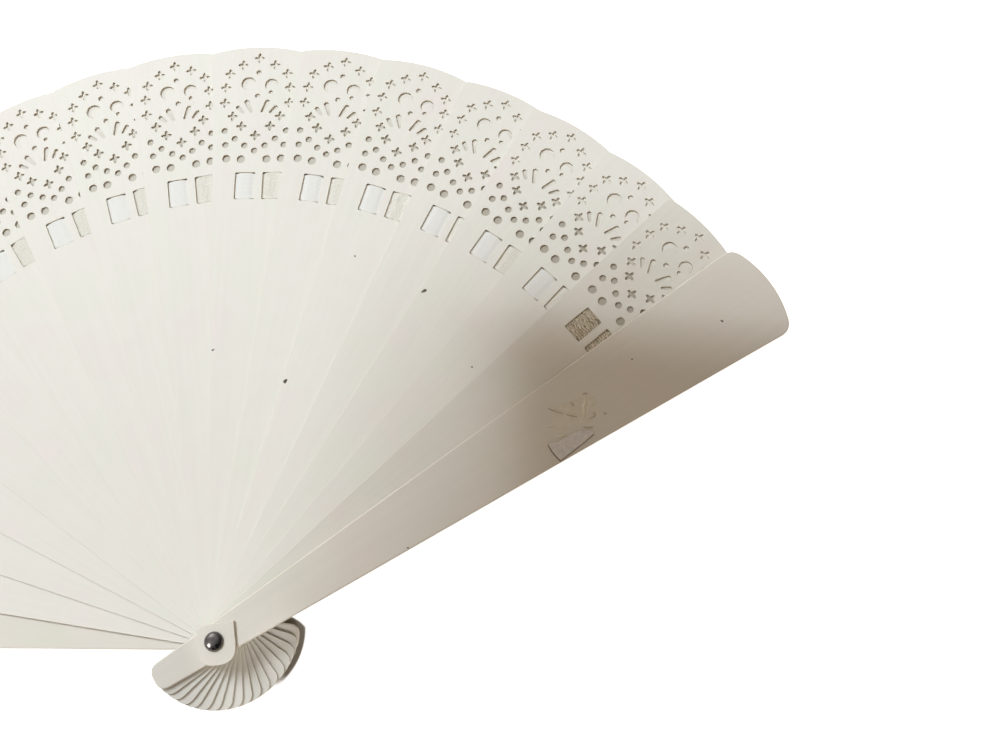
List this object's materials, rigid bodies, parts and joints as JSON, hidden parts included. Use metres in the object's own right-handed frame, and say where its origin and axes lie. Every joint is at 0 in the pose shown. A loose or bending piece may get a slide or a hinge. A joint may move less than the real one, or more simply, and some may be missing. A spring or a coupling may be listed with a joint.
{
  "type": "folding fan",
  "caption": "Folding fan of pierced ivory-coloured celluloid sticks between two plain guards, threaded on a white ribbon and turning on a steel rivet.",
  "frame": {"origin": "rivet axis at the flat rear face of the rivet, which is the lowest face", "axes": "+Z along the rivet from the rear face to the domed head, +Y up the middle of the open fan, +X towards the front guard"},
  "size_m": [0.3402, 0.192, 0.0177],
  "materials": {
    "celluloid_stick": "pierced celluloid sheet, ivory-coloured, satin gloss",
    "celluloid_guard": "plain celluloid, a little browner with age, satin gloss",
    "celluloid_plate": "plain celluloid washer plate, one corner chipped",
    "ribbon_satin": "white satin ribbon, glued behind each stick",
    "rivet_steel": "polished dark steel"
  },
  "bodies": {
    "rear_guard": {"rear_guard": "celluloid_guard", "ribbon_rear_end": "ribbon_satin", "rivet": "rivet_steel", "rivet_burr": "rivet_steel", "rear_washer_plate": "celluloid_plate", "front_washer_plate": "celluloid_plate"},
    "stick_01": {"stick_01": "celluloid_stick", "ribbon_01": "ribbon_satin"},
    "stick_02": {"stick_02": "celluloid_stick", "ribbon_02": "ribbon_satin"},
    "stick_03": {"stick_03": "celluloid_stick", "ribbon_03": "ribbon_satin"},
    "stick_04": {"stick_04": "celluloid_stick", "ribbon_04": "ribbon_satin"},
    "stick_05": {"stick_05": "celluloid_stick", "ribbon_05": "ribbon_satin"},
    "stick_06": {"stick_06": "celluloid_stick", "ribbon_06": "ribbon_satin"},
    "stick_07": {"stick_07": "celluloid_stick", "ribbon_07": "ribbon_satin"},
    "stick_08": {"stick_08": "celluloid_stick", "ribbon_08": "ribbon_satin"},
    "stick_09": {"stick_09": "celluloid_stick", "ribbon_09": "ribbon_satin"},
    "stick_10": {"stick_10": "celluloid_stick", "ribbon_10": "ribbon_satin"},
    "stick_11": {"stick_11": "celluloid_stick", "ribbon_11": "ribbon_satin"},
    "stick_12": {"stick_12": "celluloid_stick", "ribbon_12": "ribbon_satin"},
    "stick_13": {"stick_13": "celluloid_stick", "ribbon_13": "ribbon_satin"},
    "stick_14": {"stick_14": "celluloid_stick", "ribbon_14": "ribbon_satin"},
    "stick_15": {"stick_15": "celluloid_stick", "ribbon_15": "ribbon_satin"},
    "stick_16": {"stick_16": "celluloid_stick", "ribbon_16": "ribbon_satin"},
    "front_guard": {"front_guard": "celluloid_guard", "ribbon_front_end": "ribbon_satin"}
  },
  "joints": [
    {"name": "stick_01_turn", "type": "hinge", "parent": "rear_guard", "child": "stick_01", "pos_m": [0, 0, 0], "axis": [0, 0, 1], "range_deg": [0, 8.4]},
    {"name": "stick_02_turn", "type": "hinge", "parent": "stick_01", "child": "stick_02", "pos_m": [0, 0, 0], "axis": [0, 0, 1], "range_deg": [0, 8.65]},
    {"name": "stick_03_turn", "type": "hinge", "parent": "stick_02", "child": "stick_03", "pos_m": [0, 0, 0], "axis": [0, 0, 1], "range_deg": [0, 8.5]},
    {"name": "stick_04_turn", "type": "hinge", "parent": "stick_03", "child": "stick_04", "pos_m": [0, 0, 0], "axis": [0, 0, 1], "range_deg": [0, 8.7]},
    {"name": "stick_05_turn", "type": "hinge", "parent": "stick_04", "child": "stick_05", "pos_m": [0, 0, 0], "axis": [0, 0, 1], "range_deg": [0, 9.1]},
    {"name": "stick_06_turn", "type": "hinge", "parent": "stick_05", "child": "stick_06", "pos_m": [0, 0, 0], "axis": [0, 0, 1], "range_deg": [0, 8.7]},
    {"name": "stick_07_turn", "type": "hinge", "parent": "stick_06", "child": "stick_07", "pos_m": [0, 0, 0], "axis": [0, 0, 1], "range_deg": [0, 8.7]},
    {"name": "stick_08_turn", "type": "hinge", "parent": "stick_07", "child": "stick_08", "pos_m": [0, 0, 0], "axis": [0, 0, 1], "range_deg": [0, 8.4]},
    {"name": "stick_09_turn", "type": "hinge", "parent": "stick_08", "child": "stick_09", "pos_m": [0, 0, 0], "axis": [0, 0, 1], "range_deg": [0, 8.25]},
    {"name": "stick_10_turn", "type": "hinge", "parent": "stick_09", "child": "stick_10", "pos_m": [0, 0, 0], "axis": [0, 0, 1], "range_deg": [0, 8.95]},
    {"name": "stick_11_turn", "type": "hinge", "parent": "stick_10", "child": "stick_11", "pos_m": [0, 0, 0], "axis": [0, 0, 1], "range_deg": [0, 9.05]},
    {"name": "stick_12_turn", "type": "hinge", "parent": "stick_11", "child": "stick_12", "pos_m": [0, 0, 0], "axis": [0, 0, 1], "range_deg": [0, 8.3]},
    {"name": "stick_13_turn", "type": "hinge", "parent": "stick_12", "child": "stick_13", "pos_m": [0, 0, 0], "axis": [0, 0, 1], "range_deg": [0, 9.05]},
    {"name": "stick_14_turn", "type": "hinge", "parent": "stick_13", "child": "stick_14", "pos_m": [0, 0, 0], "axis": [0, 0, 1], "range_deg": [0, 7.5]},
    {"name": "stick_15_turn", "type": "hinge", "parent": "stick_14", "child": "stick_15", "pos_m": [0, 0, 0], "axis": [0, 0, 1], "range_deg": [0, 8.55]},
    {"name": "stick_16_turn", "type": "hinge", "parent": "stick_15", "child": "stick_16", "pos_m": [0, 0, 0], "axis": [0, 0, 1], "range_deg": [0, 7.6]},
    {"name": "front_guard_turn", "type": "hinge", "parent": "stick_16", "child": "front_guard", "pos_m": [0, 0, 0], "axis": [0, 0, 1], "range_deg": [0, 7.35]}
  ],
  "couplings": [
    {"joint": "stick_02_turn", "follows": "stick_01_turn", "ratio": 1.0298},
    {"joint": "stick_03_turn", "follows": "stick_01_turn", "ratio": 1.0119},
    {"joint": "stick_04_turn", "follows": "stick_01_turn", "ratio": 1.0357},
    {"joint": "stick_05_turn", "follows": "stick_01_turn", "ratio": 1.0833},
    {"joint": "stick_06_turn", "follows": "stick_01_turn", "ratio": 1.0357},
    {"joint": "stick_07_turn", "follows": "stick_01_turn", "ratio": 1.0357},
    {"joint": "stick_08_turn", "follows": "stick_01_turn", "ratio": 1},
    {"joint": "stick_09_turn", "follows": "stick_01_turn", "ratio": 0.98214},
    {"joint": "stick_10_turn", "follows": "stick_01_turn", "ratio": 1.0655},
    {"joint": "stick_11_turn", "follows": "stick_01_turn", "ratio": 1.0774},
    {"joint": "stick_12_turn", "follows": "stick_01_turn", "ratio": 0.98809},
    {"joint": "stick_13_turn", "follows": "stick_01_turn", "ratio": 1.0774},
    {"joint": "stick_14_turn", "follows": "stick_01_turn", "ratio": 0.89286},
    {"joint": "stick_15_turn", "follows": "stick_01_turn", "ratio": 1.0179},
    {"joint": "stick_16_turn", "follows": "stick_01_turn", "ratio": 0.90476},
    {"joint": "front_guard_turn", "follows": "stick_01_turn", "ratio": 0.875}
  ]
}
